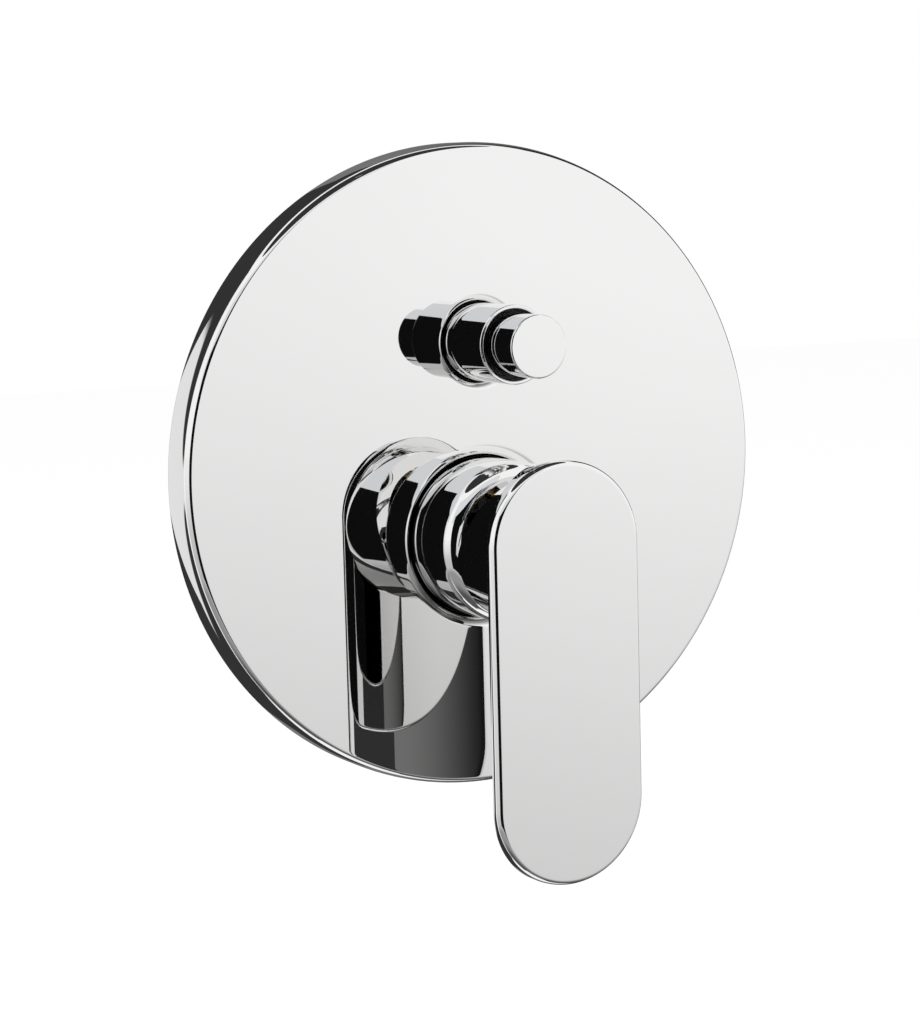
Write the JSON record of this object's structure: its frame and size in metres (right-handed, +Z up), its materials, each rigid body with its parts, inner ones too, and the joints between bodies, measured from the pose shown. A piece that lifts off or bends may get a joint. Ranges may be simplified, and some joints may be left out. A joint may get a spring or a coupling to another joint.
{
  "type": "concealed shower mixer",
  "caption": "Concealed shower mixer: round cover plate, flat lever on a round hub, push-button diverter and a brass body behind the wall with threaded inlets and outlets.",
  "frame": {"origin": "centre of the round cover plate, on the face of the finished wall", "axes": "+X to the user's right, +Y into the wall, +Z up; the lever faces -Y"},
  "size_m": [0.165, 0.095, 0.1835],
  "materials": {
    "chrome": "mirror-polished chrome plating",
    "brass": "cast and machined brass",
    "steel": "turned stainless steel",
    "rubber": "moulded rubber",
    "foam": "closed-cell foam",
    "cartridge_plastic": "moulded acetal",
    "guide_plastic": "moulded nylon",
    "plug_plastic": "grey plastic plug",
    "ceramic": "lapped alumina"
  },
  "bodies": {
    "body": {"cover_plate": "chrome", "wall_gasket": "foam", "shroud": "chrome", "shroud_gasket": "rubber", "shroud_o_ring": "rubber", "valve_body": "brass", "retaining_nut": "brass", "cartridge_housing": "cartridge_plastic", "cartridge_base": "cartridge_plastic", "base_seals": "rubber", "fixed_disc": "ceramic", "diverter_bonnet": "brass", "bonnet_o_ring": "rubber", "rod_o_ring": "rubber", "diverter_sleeve": "chrome", "button_bush": "guide_plastic", "sleeve_gasket": "rubber", "spool_seat_washer": "rubber", "return_spring": "steel"},
    "guide": {"rotating_guide": "guide_plastic", "pivot_pin": "steel"},
    "lever": {"cartridge_stem": "steel", "lever_handle": "chrome", "grub_screw": "steel", "grub_screw_plug": "plug_plastic"},
    "disc": {"moving_disc": "ceramic", "disc_driver": "guide_plastic"},
    "diverter": {"diverter_button": "chrome", "diverter_rod": "steel", "diverter_spool": "brass", "spool_o_rings": "rubber"}
  },
  "joints": [
    {"name": "temperature_turn", "type": "hinge", "parent": "body", "child": "guide", "pos_m": [0, -0.017, -0.018], "axis": [0, -1, 0], "range_deg": [-45, 45]},
    {"name": "flow_lift", "type": "hinge", "parent": "guide", "child": "lever", "pos_m": [0, -0.017, -0.018], "axis": [-1, 0, 0], "range_deg": [0, 22]},
    {"name": "disc_slide", "type": "slide", "parent": "guide", "child": "disc", "axis": [0, 0, -1], "range_m": [0, 0.005]},
    {"name": "button_press", "type": "slide", "parent": "body", "child": "diverter", "axis": [0, 1, 0], "range_m": [0, 0.008], "stiffness_N_per_m": 250, "springref_m": -0.012, "deforming": ["return_spring"]}
  ],
  "couplings": [
    {"joint": "disc_slide", "follows": "flow_lift", "m_per_rad": 0.01275}
  ]
}
